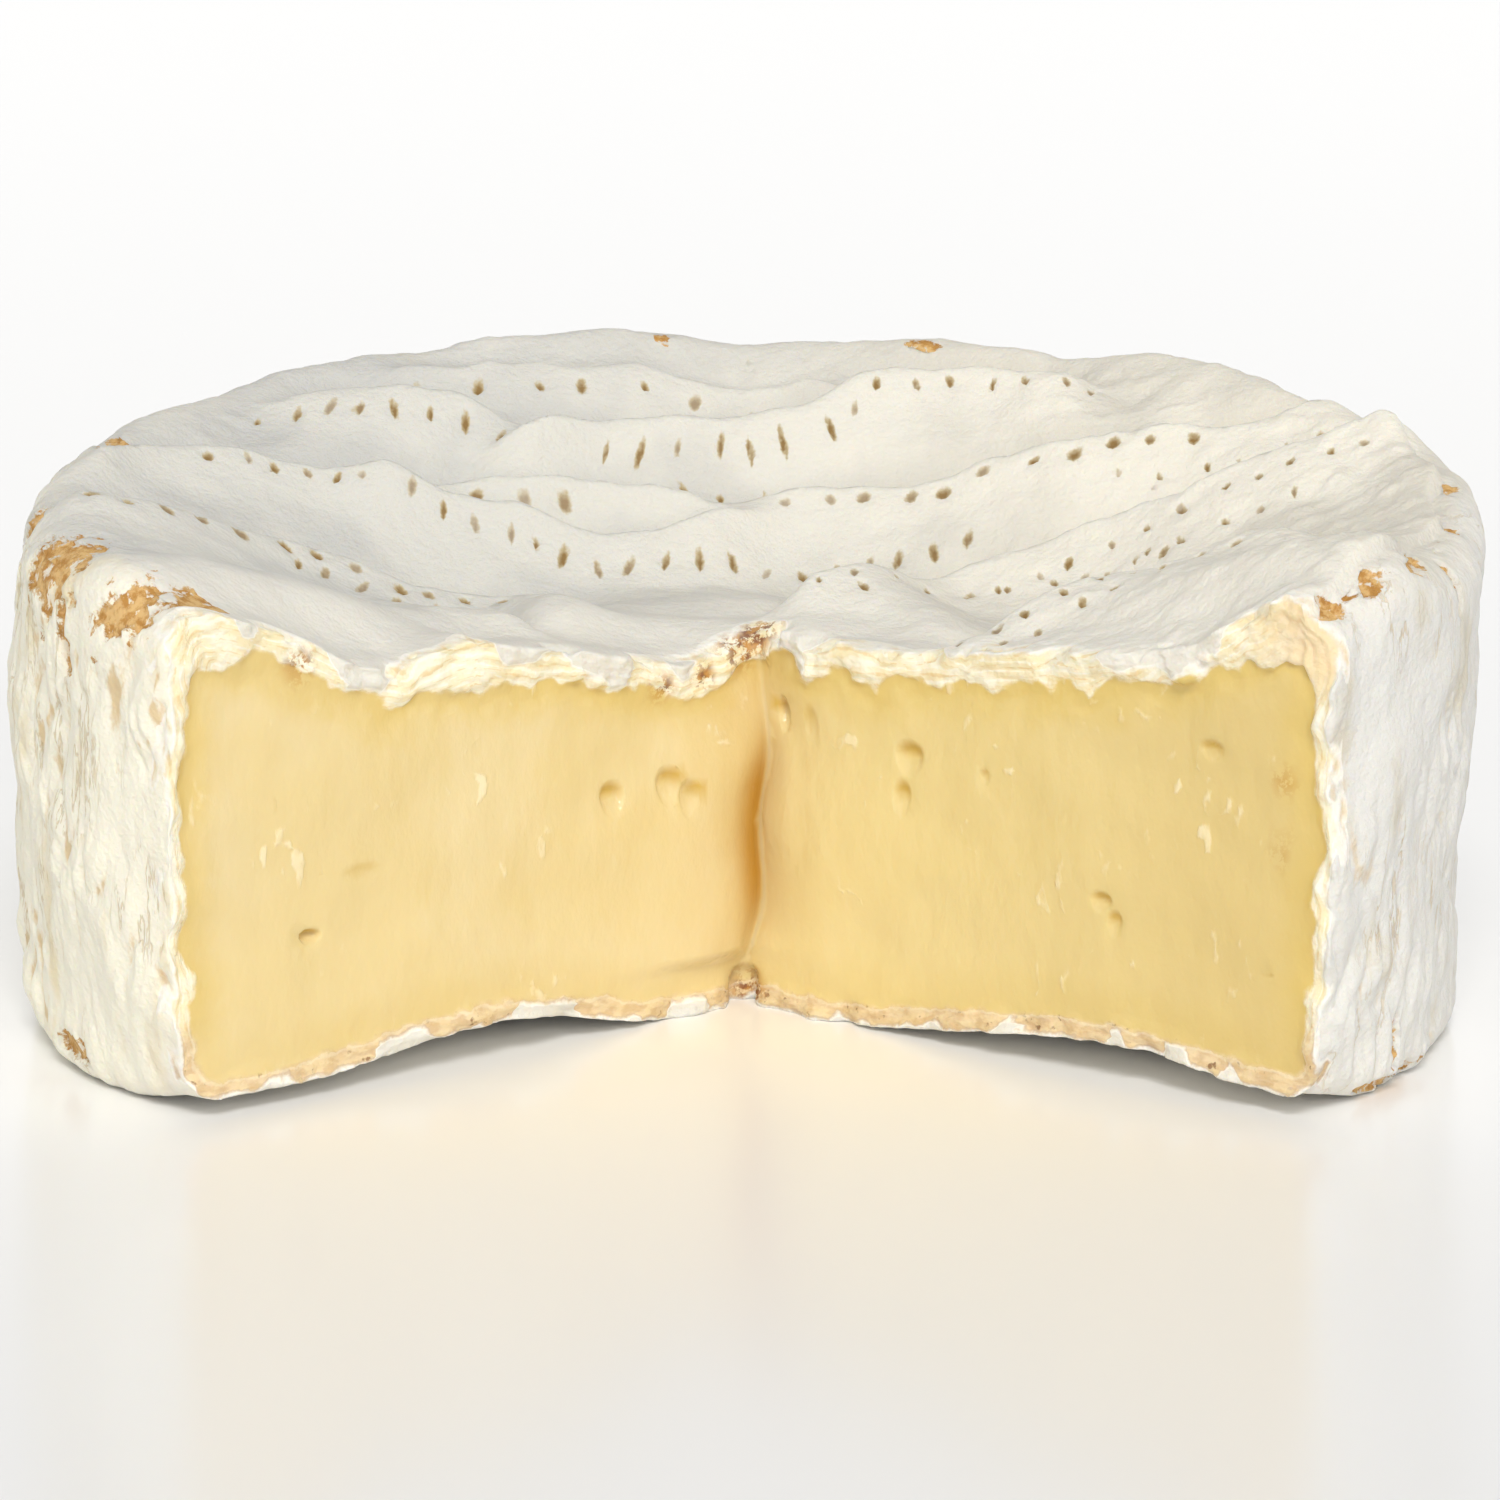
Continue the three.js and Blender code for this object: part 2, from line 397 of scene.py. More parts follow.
def rind_layers(points):
    """Depth below the natural skin, and how deep the white and the whole rind go there."""
    x, y, z = points.T
    below = top_height(x, y) - z
    inside = wall_radius(np.arctan2(y, x), z) - np.hypot(x, y)
    above = z - underside_height(x, y)
    rounded = top_edge - np.hypot(np.clip(top_edge - below, 0, None),
                                  np.clip(top_edge - inside, 0, None))
    tucked = bottom_edge - np.hypot(np.clip(bottom_edge - above, 0, None),
                                    np.clip(bottom_edge - inside, 0, None))
    upper = np.where((below < top_edge) & (inside < top_edge), rounded, np.minimum(below, inside))
    lower = np.where((above < bottom_edge) & (inside < bottom_edge), tucked, above)
    depth = np.minimum(upper, lower)

    top = eased(0.5 + (inside - below) / 5)
    foot = eased(0.5 + (np.minimum(inside, below) - above) / 4)
    coarse = hills(points, 5.0, 31)
    medium = hills(points, 2.3, 32)
    rough = hills(points, 1.1, 33)
    top_rind = rind_at_top + 1.2 * hills(points, 3.8, 36) + 0.6 * medium + 0.5 * rough
    for side, wide, place in thick_spots:
        along = beside_cut(x, y, side)[0]
        top_rind += wide * np.exp(-((along - place) / thick_spot_reach) ** 2) * (side * x > 0)
    side_rind = rind_at_side + 0.5 * coarse + 0.5 * medium + 0.35 * rough
    foot_rind = rind_at_foot + 0.4 * coarse + 0.35 * medium + 0.25 * rough
    thick = side_rind + top * (top_rind - side_rind)
    thick += corner_thickening * eased((7 - np.maximum(inside, below)) / 4) * (1 - foot)
    thick = np.clip(thick + foot * (foot_rind - thick), rind_least, None)

    tongues = eased((hills(points * (1, 1, 0.3), 5.6, 34) + 0.05) / 0.45)
    scallops = eased((hills(points * (1, 1, 0.2), 2.9, 35) - 0.02) / 0.3)
    top_white = 0.1 + white_tongues * tongues + 0.3 * medium
    side_white = 0.3 + 0.45 * medium + 0.2 * rough
    foot_white = 0.2 + white_scallops * scallops + 0.2 * rough
    white = side_white + top * (top_white - side_white)
    white = white + foot * (foot_white - white)
    white = np.clip(np.minimum(white, thick - 0.15), 0.1, None)
    return depth, white, thick


# ---- The wheel: its cut faces ----------------------------------------------------------
# The knife slid through the soft inside and dragged it a little. Near the axis the left
# side has sagged over the right in a soft fold.
face_bulge = 0.7
face_waves = 0.42
drag_height = 0.05
rind_lumps = 0.24
rind_band_height = 0.09
rind_band_width = 0.85
eye_depth = 0.6
apex_notch = 1.6

# Small holes and tears in the paste: side, place out along the face, height, half width,
# half height and depth.
eyes = [
    (-1, 40.3, 11.6, 0.85, 0.65, 1.4),
    (-1, 13.4, 17.4, 1.05, 1.5, 0.9),
    (-1, 8.0, 17.6, 1.0, 1.7, 0.8),
    (-1, 6.2, 16.6, 0.75, 1.6, 0.7),
    (1, 15.2, 20.6, 1.2, 1.5, 0.9),
    (1, 14.6, 17.6, 0.75, 1.6, 0.6),
    (1, 42.0, 25.2, 1.0, 0.9, 0.5),
    (1, 32.9, 13.0, 0.8, 0.9, 0.7),
    (1, 34.0, 11.6, 0.6, 1.1, 0.5),
    (1, 22.3, 20.4, 0.45, 0.8, 0.3),
    (1, 47.0, 10.0, 0.5, 0.25, 0.25),
    (-1, 36.0, 15.5, 1.6, 1.0, 0.22),
    (1, 5.6, 21.5, 0.7, 2.0, 0.3),
    (1, 2.3, 22.0, 0.6, 1.5, 1.2),
]

# The fold at the axis: how far it stands off to the right, at heights up the wheel.
fold_line = np.array([(0, -0.7), (3, -0.5), (6, 0.5), (9, 1.1), (13, 0.5), (16, 0.9), (20, 1.5),
                      (23, 0.7), (27, 0.6), (30, 1.0)])
left_lobe = 1.7
right_lobe = 0.5
lobe_round = 1.8

# Where the knife has smeared the paste most: side, place out along the face, height and size.
smear_spots = [(-1, 2.8, 21.5, 2.6), (-1, 27.0, 20.0, 3.2), (-1, 43.0, 18.0, 4.0), (1, 8.0, 21.0, 2.6),
               (1, 24.0, 21.5, 2.2), (1, 41.0, 21.0, 4.2), (1, 34.0, 10.0, 2.4)]


def fold_place(z):
    """How far the fold stands off to the right, its corners eased."""
    return np.mean([np.interp(z + near, fold_line[:, 0], fold_line[:, 1]) for near in (-2, -1, 0, 1, 2)],
                   axis=0)


def rind_bands(points, depth):
    """The thin layers of the torn rind, from -1 to 1, following its outside."""
    waver = 0.9 * hills(points, (4.5, 4.5, 2.6), 46)
    return np.sin(2 * np.pi * (depth / rind_band_width + waver + 0.25 * hills(points, 1.3, 48)))


def on_face(along, z, side):
    """Places on a cut face, laid out flat, with the two faces far apart."""
    return np.stack([along, z, np.full_like(z, 50.0 * side)], 1)


def smears(face):
    """Little raised drags and blisters of soft paste, 0 to 1, in patches over the face."""
    patch = 0.7 * eased((hills(face, (8, 6, 1), 61) - 0.05) / 0.4)
    for side, place, height, size in smear_spots:
        distance = np.hypot(face[:, 0] - place, face[:, 1] - height) / size
        patch = np.maximum(patch, eased(1.4 - distance) * (side * face[:, 2] > 0))
    grain = layered_hills(face + 0.8 * hills(face, 2.2, 62)[:, None], (1.2, 2.8, 1), 63, layers=2)
    return patch * eased((grain - 0.22) / 0.5)


def eye_hollows(along, z, side):
    """Depth of the small holes in a cut face, and how far under a hole's roof a point is."""
    deepness = np.zeros_like(z)
    roof = np.zeros_like(z)
    for eye_side, place, height, wide, tall, deep in eyes:
        if eye_side == side:
            up = (z - height) / tall
            across = (along - place) / (wide * (1.1 - 0.35 * np.clip(-up, -1, 1)))
            hole = eased((1.1 - np.hypot(across, up)) / 0.6) * (0.25 + 0.75 * eased((up + 1) / 1.5))
            deepness += eye_depth * deep * hole
            roof = np.maximum(roof, hole * eased((up + 0.2) / 0.8) * min(deep / 0.5, 1))
    return deepness, roof


def cut_relief(points, side):
    """How far the cut face stands out from a flat cut, in millimetres."""
    x, y, z = points.T
    along = beside_cut(x, y, side)[0]
    face = on_face(along, z, side)
    middle = np.sin(np.pi * np.clip(along / radius, 0, 1))
    relief = face_bulge * middle + face_waves * layered_hills(face, (12, 9, 1), 41, layers=2)
    relief += drag_height * hills(face, (1.8, 9, 1), 42) + drag_height * smears(face)

    depth, white, thick = rind_layers(points)
    upper = eased((z - 12) / 8)
    torn = eased((thick - depth + 0.2) / 0.9)
    lumps = rind_lumps * layered_hills(points, (4.2, 4.2, 2.6), 44) + 0.12 * hills(points, 1.0, 45)
    relief += torn * (0.1 + 0.14 * upper + lumps + rind_band_height * rind_bands(points, depth))
    relief += eased((white - depth + 0.1) / 0.6) * (0.16 + 0.14 * upper)
    hollow = np.exp(-((depth - thick - 0.8) / 0.8) ** 2)
    relief -= (0.06 + 0.12 * upper) * hollow
    relief += eased((2.6 - depth) / 2.4) * 0.75 * layered_hills(points, (4, 4, 4), 47, layers=2)

    relief -= eye_hollows(along, z, side)[0]
    relief -= apex_notch * np.exp(-(along / 0.9) ** 2) * eased((3.2 - z) / 1.2)
    return relief


def shaped(points):
    """The plain cut drum's points, moved to the shape of the ripened wheel."""
    x, y, z = points.T.copy()
    angle = np.arctan2(y, x)
    reach = np.hypot(x, y)

    # The wall moves in or out, the middle stays, and between them the points spread evenly.
    outer = eased((reach - 0.55 * radius) / (0.4 * radius))
    grow = 1 + (wall_radius(angle, z) / radius - 1) * outer
    x, y = x * grow, y * grow
    share = z / side_height
    top = top_height(x, y)
    z = top * share + underside_height(x, y) * (1 - eased(share / 0.4))
    points = np.stack([x, y, z], 1)

    # The torn edge of the top skin: chips broken down from it near the cut.
    for side in (-1, 1):
        ahead = beside_cut(points[:, 0], points[:, 1], side)[1]
        near = (ahead > -3.0) & (side * points[:, 0] > -1.0) & (points[:, 2] > 0.5 * top)
        spot = points[near] * (1, 1, 0)
        chip = hills(spot, 3.4, 51) + 0.5 * hills(spot, 1.4, 52)
        chip = 0.15 + 0.85 * eased((chip - 0.05) / 0.4)
        edge = eased((ahead[near] + 1.5 + 0.7 * hills(spot, 2.0, 53)) / 1.0)
        upper = eased((points[near, 2] / top[near] - 0.8) / 0.2)
        points[near, 2] -= chip * edge * upper

    # The cut faces themselves, each moved square to itself.
    for side in (-1, 1):
        ahead = beside_cut(points[:, 0], points[:, 1], side)[1]
        own = eased(0.5 + side * points[:, 0] / 1.2)
        near = (ahead > -3.2) & (own > 0)
        spot = points[near]
        hold = eased((ahead[near] + 3.0) / 2.4) * own[near]
        out = cut_relief(spot, side) * hold
        points[near, 0] -= side * math.cos(wedge_half_angle) * out
        points[near, 1] -= math.sin(wedge_half_angle) * out

    # At the axis the left side has sagged into a soft lobe, rounded where it meets the right
    # side. The crease between them wanders as it goes down.
    x, y, z = points.T
    left = np.where(x > -lobe_round, 1 - (1 + np.clip(x, None, 0) / lobe_round) ** 2, 1)
    left = np.sqrt(np.clip(left, 0, 1)) * np.exp(-(np.clip(x + lobe_round, None, 0) / 5.0) ** 2)
    right = np.sqrt(np.clip(1 - (1 - np.clip(x, 0, 1)) ** 2, 0, 1))
    right = right * np.exp(-(np.clip(x - 1, 0, None) / 3.0) ** 2)
    sagged = eased((z - 3.2) / 1.6) * eased((25 - z) / 7) * (ahead_of_cut(x, y) > -3)
    points[:, 1] -= sagged * np.where(x < 0, left_lobe * left, right_lobe * right)
    by_axis = np.exp(-(np.hypot(x, y) / 5.0) ** 2)
    points[:, 0] += fold_place(z) * by_axis
    points[:, 2] = np.clip(z, 0, None)
    return points


def place_points(mesh, points):
    """Moves the points of a mesh, without touching its faces."""
    mesh.vertices.foreach_set("co", points.astype(np.float32).ravel())
    mesh.update()


def read_points(mesh):
    """The points of a mesh, one row for each."""
    points = np.zeros(len(mesh.vertices) * 3, np.float32)
    mesh.vertices.foreach_get("co", points)
    return points.reshape(-1, 3).astype(float)


place_points(wheel.data, shaped(read_points(wheel.data)))


# ---- The wheel: its pits ---------------------------------------------------------------
# Pins on the rack left rows of small pits, most of them just in front of the ridges.
pit_closeness = 0.8
pit_sink = 0.4
pit_surroundings = 2.4

# Each row of pits: ridge, first and last x, how far in front of the crest at each end,
# spacing, half width and half length.
pit_rows = [
    ("rim", -29, 5, 1.6, 2.2, 5.2, 0.6, 0.9),
    ("back", 10, 27, 1.2, 1.4, 3.5, 0.42, 0.75),
    ("back_left", -37, -19, 1.9, 2.0, 3.2, 0.4, 1.15),
    ("back", -11, 9, 1.7, 2.6, 3.5, 0.36, 1.15),
    ("back", -11, 2, 4.2, 5.4, 3.7, 0.46, 0.85),
    ("long", -27, -12, 0.9, 1.1, 4.2, 0.75, 0.7),
    ("long", 3, 34, 1.0, 0.9, 3.8, 0.72, 0.6),
    ("left", -40, -27, 1.0, 0.8, 2.8, 0.5, 0.75),
    ("left", -25, -8, 0.9, 3.0, 2.8, 0.42, 1.0),
    ("left", -6, 1.5, 2.4, 4.4, 3.0, 0.44, 1.2),
    ("long", 4, 18, 6.8, 5.6, 3.1, 0.46, 1.0),
    ("front_left", -47, -29, 0.7, 0.9, 3.2, 0.75, 0.8),
    ("front_left", -33, -22, 2.7, 2.7, 3.1, 0.5, 1.3),
    ("front_left", -26, -13, 0.9, 1.1, 3.4, 0.72, 0.6),
    ("right", 8, 34, 3.8, 2.0, 3.3, 0.42, 0.7),
    ("right", 5, 31, 1.0, 5.4, 3.6, 0.42, 0.7),
    ("right", 32, 46, 1.8, 2.4, 3.4, 0.45, 0.6),
    ("right", 26, 42, 4.8, 5.6, 3.6, 0.4, 0.8),
    ("front_right", 15, 39, 1.0, 2.2, 3.0, 0.5, 0.8),
    ("front_right", 13, 30, 3.6, 4.2, 3.3, 0.42, 0.8),
    ("long", 28, 44, 3.4, 4.2, 3.8, 0.38, 0.6),
]
chance = np.random.default_rng(7)
pits = []
for name, first, last, ahead_first, ahead_last, spacing, wide, long in pit_rows:
    for x in np.arange(first, last, pit_closeness * spacing):
        share = (x - first) / (last - first)
        at_x = x + chance.uniform(-0.15, 0.15) * spacing
        ahead = ahead_first + (ahead_last - ahead_first) * share + chance.uniform(-0.25, 0.25)
        scale = chance.uniform(0.6, 0.92)
        pits.append((at_x, float(np.interp(at_x, *crests[name])) - ahead, wide * scale,
                     long * scale * chance.uniform(0.7, 1.2), chance.uniform(0.5, 1.0),
                     chance.uniform(-0.4, 0.4)))


def in_pits(points):
    """How far each point is from the middle of the nearest pit, and how deep that pit is."""
    x, y, z = points.T
    nearest = np.full(len(points), pit_surroundings)
    deepness = np.zeros(len(points))
    on_top = top_height(x, y) - z < 1.5
    for at_x, at_y, wide, long, deep, lean in pits:
        near = on_top & (np.abs(x - at_x) < 3.5) & (np.abs(y - at_y) < 4)
        across = (x[near] - at_x - lean * (y[near] - at_y)) / wide
        down = (y[near] - at_y) / long
        distance = np.hypot(across, down)
        closer = distance < nearest[near]
        index = np.flatnonzero(near)[closer]
        nearest[index] = distance[closer]
        deepness[index] = deep
    return nearest, deepness


# Flat stretches give up faces, so that the torn rind and the pits can keep theirs.
most_faces = 198000
points = read_points(wheel.data)
depth, white, thick = rind_layers(points)
reach, deepness = in_pits(points)
ahead = ahead_of_cut(points[:, 0], points[:, 1])
kept = ((ahead > -1.2) & (depth < thick + 0.6) & (depth > 0.1) & (points[:, 2] > 8)) | (reach < 1.5)
fineness = wheel.vertex_groups.new(name="fineness")
fineness.add(np.flatnonzero(~kept).tolist(), 1.0, "REPLACE")
fineness.add(np.flatnonzero(kept).tolist(), 0.4, "REPLACE")
fewer = wheel.modifiers.new("fewer", "DECIMATE")
fewer.ratio = most_faces / (2 * len(wheel.data.polygons))
fewer.vertex_group = fineness.name
fewer.vertex_group_factor = 4
bpy.ops.object.modifier_apply(modifier=fewer.name)
wheel.vertex_groups.clear()


# ---- The wheel: what its surface shows -------------------------------------------------
# On the rim and on the wall the white mould is rubbed off in places, down to the ochre rind.
# What each spot shows is kept on the mesh, for the material to read.
rubbed_sink = 0.6

# Rubbed patches: angle round the wheel in degrees, distance out, height, and half sizes
# round the wheel, across it and up.
rubbed = [
    (201.0, 51.0, 35.0, 5.2, 3.4, 3.9), (206.0, 51.6, 31.6, 1.2, 2.4, 2.6),
    (213.5, 50.4, 34.6, 3.4, 3.0, 2.7), (217.0, 47.4, 36.0, 1.8, 2.4, 1.5),
    (184.0, 52.5, 36.2, 2.4, 1.8, 2.0), (-37.5, 50.5, 36.4, 1.3, 1.3, 1.1),
    (-33.0, 51.2, 37.3, 1.6, 1.2, 0.8), (-26.0, 51.8, 37.6, 2.0, 1.0, 0.7),
    (-20.0, 53.0, 35.5, 0.5, 1.6, 3.0), (-7.0, 52.0, 38.2, 2.6, 1.0, 0.7),
    (22.0, 50.0, 40.0, 1.3, 1.0, 0.7), (74.0, 50.0, 41.0, 1.5, 0.9, 0.8),
    (98.0, 49.5, 41.0, 0.7, 2.0, 0.8), (131.0, 50.5, 39.6, 1.6, 1.0, 0.7),
    (160.0, 51.0, 38.4, 1.8, 1.0, 0.7), (203.0, 52.0, 2.2, 3.0, 1.6, 0.9),
    (-28.0, 51.5, 0.8, 6.0, 1.6, 0.6), (-29.0, 52.0, 3.4, 0.4, 1.4, 2.2),
    (132.0, 53.5, 26.0, 0.5, 1.2, 2.6), (60.0, 52.4, 2.5, 3.5, 1.5, 1.0),
    (118.0, 52.0, 2.0, 4.0, 1.5, 0.9),
]

# Brown crumbs of rind dropped by the knife: place about the axis, and size.
crumbs = [(-1.0, -0.6, 26.6, 1.6), (0.4, 0.1, 27.6, 1.5), (1.7, 1.0, 28.8, 1.2),
          (-3.6, -3.0, 25.2, 1.0), (-6.6, -5.6, 24.9, 1.1), (-31.5, -26.4, 31.0, 1.3),
          (36.8, -30.9, 24.0, 0.9), (36.5, -30.6, 19.0, 0.8), (0.0, 0.0, 1.2, 1.6)]


def rubbed_share(points):
    """Above 1 in the middle of a rubbed patch of the rind, falling to 0 round it."""
    ragged = 0.55 * hills(points, 2.0, 71) + 0.4 * hills(points, 0.95, 72)
    found = np.zeros(len(points))
    for at, out, height, wide, across, tall in rubbed:
        turn = math.radians(at)
        middle = np.array([math.cos(turn) * out, math.sin(turn) * out])
        offset = points[:, :2] - middle
        round_way = offset @ np.array([-math.sin(turn), math.cos(turn)]) / wide
        out_way = offset @ np.array([math.cos(turn), math.sin(turn)]) / across
        up = (points[:, 2] - height) / tall
        distance = np.sqrt(round_way ** 2 + out_way ** 2 + up ** 2)
        found = np.maximum(found, 1.75 - distance + ragged * (distance < 2.5))
    turn = np.degrees(np.arctan2(points[:, 1], points[:, 0]))
    off = np.hypot(points[:, 0], points[:, 1]) - rim_step_at - 1.6
    along_step = np.exp(-(off / 0.9) ** 2) * eased((30 - np.abs(turn + 16)) / 8) * (points[:, 2] > 34)
    flecks = eased((hills(points, (2.2, 2.2, 1.2), 73) - 0.10) / 0.2)
    return np.clip(np.maximum(found, 1.4 * along_step * flecks), 0, 1.6)


def keep_attribute(mesh, name, values):
    """Keeps one number for each point of a mesh, for the material to read."""
    made = mesh.attributes.new(name, "FLOAT", "POINT")
    made.data.foreach_set("value", values.astype(np.float32))


points = read_points(wheel.data)
x, y, z = points.T
reach, deepness = in_pits(points)
bare = rubbed_share(points)
depth, white, thick = rind_layers(points)
uneven = 3.0 * layered_hills(points, 8.0, 74)
on_wall = eased((np.hypot(x, y) - 0.9 * radius) / (0.08 * radius)) * eased((41 - z + uneven) / 7)

# Painted shade of the fold: a narrow dark line where it is deepest, in a wide faint one.
off = x - fold_place(z) + 0.35
deep_part = eased((z - 3) / 7) * eased((22.5 - z) / 6)
fold = 0.85 * np.exp(-(off / np.where(off < 0, 0.5 + 0.9 * deep_part, 0.45)) ** 2) * deep_part
fold += 0.22 * np.exp(-(off / np.where(off < 0, 4.5, 2.0)) ** 2) * eased((z - 1) / 5) * eased((29 - z) / 3)
fold *= eased((1.5 - y) / 1.5)

crumb = np.zeros(len(points))
for at_x, at_y, at_z, size in crumbs:
    distance = np.linalg.norm(points - (at_x, at_y, at_z), axis=1) / size
    crumb = np.maximum(crumb, eased(1.5 - distance))
smear_glint_mask = np.zeros(len(points))
roof = np.zeros(len(points))
for side in (-1, 1):
    along, ahead = beside_cut(x, y, side)
    smear_glint_mask = np.where(side * x > 0, smears(on_face(along, z, side)), smear_glint_mask)
    roof = np.where((side * x > 0) & (ahead > -2.5), eye_hollows(along, z, side)[1], roof)
ahead = ahead_of_cut(x, y)
at_cut = eased((ahead + 2.6) / 1.1)
keep_attribute(wheel.data, "below_white", at_cut * (depth - white) - (1 - at_cut))
keep_attribute(wheel.data, "below_rind", at_cut * (depth - thick) - 2 * (1 - at_cut))
keep_attribute(wheel.data, "foot", eased((9 - z) / 5))
keep_attribute(wheel.data, "pit_reach", reach)
keep_attribute(wheel.data, "pit_depth", deepness)
keep_attribute(wheel.data, "rubbed", bare)
keep_attribute(wheel.data, "wall", on_wall)
keep_attribute(wheel.data, "wrinkle", wall_folds(np.arctan2(y, x), z) * on_wall)
keep_attribute(wheel.data, "swell", ridge_waves(x, y))
keep_attribute(wheel.data, "band", rind_bands(points, depth))
keep_attribute(wheel.data, "crumb", crumb)
keep_attribute(wheel.data, "roof", roof)
keep_attribute(wheel.data, "front", eased((ahead + 16) / 12))
keep_attribute(wheel.data, "smear", smear_glint_mask)
keep_attribute(wheel.data, "fold", fold)

# Pits and rubbed patches lie a little below the felt of mould.
points[:, 2] -= pit_sink * eased((1.3 - reach) / 0.9) * deepness
dent = rubbed_sink * eased((bare - 0.72) / 0.2) * (depth < 0.5)
out_way = points / np.linalg.norm(points * (1, 1, 0.6) + 1e-9, axis=1)[:, None]
points -= dent[:, None] * out_way * (1, 1, 0.6)
points[:, 2] = np.clip(points[:, 2], 0, None)
place_points(wheel.data, points)

# From millimetres about the wheel's axis to metres in the frame.
wheel.scale = (MM, MM, MM)
wheel.location.y = axis_y
bpy.ops.object.select_all(action="DESELECT")
wheel.select_set(True)
bpy.context.view_layer.objects.active = wheel
bpy.ops.object.transform_apply(location=True, rotation=True, scale=True)
bpy.ops.object.shade_smooth()


# ---- The wheel: its rind and paste -----------------------------------------------------
# Outside, a felt of white mould over an ochre rind. Torn, the rind shows cream and tan
# layers. Inside, a moist pale yellow paste, deeper in colour next to the rind.
cheese = bpy.data.materials.new("cheese")
cheese.use_nodes = True
nodes = cheese.node_tree.nodes
links = cheese.node_tree.links
shader = nodes["Principled BSDF"]


def colour(red, green, blue):
    """A screen colour, 0 to 255, as the shader's linear light."""
    shares = [c / 255 for c in (red, green, blue)]
    return [c / 12.92 if c <= 0.04045 else ((c + 0.055) / 1.055) ** 2.4 for c in shares] + [1.0]


def node(kind, settings=None, **inputs):
    """A shader node, its inputs given by name, or as i0, i1 and so on by their order."""
    made = nodes.new("ShaderNode" + kind)
    for name, value in (settings or {}).items():
        setattr(made, name, value)
    for name, value in inputs.items():
        socket = made.inputs[int(name[1:]) if name[1:].isdigit() else name.replace("_", " ")]
        if isinstance(value, bpy.types.NodeSocket):
            links.new(value, socket)
        else:
            socket.default_value = value
    return made


def math_of(kind, first, second=0.0):
    return node("Math", {"operation": kind}, i0=first, i1=second).outputs[0]


def plus(first, second):
    return math_of("ADD", first, second)


def times(first, second):
    return math_of("MULTIPLY", first, second)


def share_of(value, low, high):
    """0 at low and 1 at high, eased between; low may be the greater."""
    return node("MapRange", {"interpolation_type": "SMOOTHSTEP"}, Value=value,
                From_Min=low, From_Max=high).outputs[0]


def mixed(share, first, second):
    return node("Mix", {"data_type": "RGBA"}, i0=share, i6=first, i7=second).outputs[2]


def mixed_value(share, first, second):
    return node("Mix", {"data_type": "FLOAT"}, i0=share, i2=first, i3=second).outputs[0]


def speckle(size, detail=2.0, stretch=(1, 1, 1), rough=0.5):
    """Noise about half, with grains of a size given in millimetres."""
    place = node("Mapping", i0=object_place, Scale=stretch).outputs[0]
    return node("TexNoise", Vector=place, Scale=1 / (size * MM), Detail=detail,
                Roughness=rough).outputs[0]


def around_none(value, strength):
    """Noise about half, moved to be about nothing, at a strength."""
    return times(math_of("SUBTRACT", value, 0.5), strength)


def stored(name):
    """What was kept on the mesh under a name."""
    return node("Attribute", {"attribute_name": name}).outputs["Fac"]


object_place = node("TexCoord").outputs["Object"]
across, _, upward_now = node("SeparateXYZ", i0=object_place).outputs
wall_now = stored("wall")
foot_now = stored("foot")

# The felt of mould: greyer where it is thin and on the left of the top, warm white on the
# wall, and tan in the wall's deepest wrinkles. Painted light brightens the ridge crests and
# painted shade greys the hollows behind them.
to_right = share_of(across, -0.030, 0.036)
thin_felt_and_hollow_shade = mixed(to_right, colour(205, 204, 199), colour(224, 219, 206))
thick_felt_and_crest_light = mixed(to_right, colour(218, 216, 208), colour(238, 233, 220))
# The ridges' height gives painted light on their crests and painted shade in the hollows behind them; the
# noise is the felt's own uneven thickness.
felt_tone_and_ridge_shading = plus(times(stored("swell"), 0.24), speckle(8, 4))
felt = mixed(share_of(felt_tone_and_ridge_shading, 0.42, 0.80), thin_felt_and_hollow_shade, thick_felt_and_crest_light)
felt = mixed(times(stored("front"), 0.75), felt, colour(235, 231, 220))
wall_to_right = share_of(across, -0.030, 0.030)
wall_felt = mixed(wall_to_right, colour(246, 241, 222), colour(226, 224, 218))
wall_thin = mixed(wall_to_right, colour(236, 223, 190), colour(214, 207, 190))
wall_felt = mixed(share_of(speckle(5, 4, (1, 1, 0.45)), 0.54, 0.70), wall_felt, wall_thin)
felt = mixed(wall_now, felt, wall_felt)
in_crease = plus(stored("wrinkle"), around_none(speckle(1.3, 4, (1, 1, 0.5), 0.6), 0.9))
tan = mixed(speckle(1.5, 3), colour(228, 200, 150), colour(212, 182, 130))
tan_share = times(wall_now, mixed_value(share_of(across, -0.02, 0.04), 0.8, 0.5))
felt = mixed(times(share_of(in_crease, -0.27, -0.50), tan_share), felt, tan)

# Fine upright cracks in the wall's felt, in patches.
crack_run = math_of("ABSOLUTE", math_of("SUBTRACT", speckle(3.0, 5, (1, 1, 0.2), 0.6), 0.5))
crack_patch = share_of(speckle(11, 2, (1, 1, 0.7)), 0.46, 0.58)
crack_now = times(times(share_of(crack_run, 0.016, 0.004), crack_patch), wall_now)
felt = mixed(times(crack_now, 0.5), felt, colour(204, 178, 130))

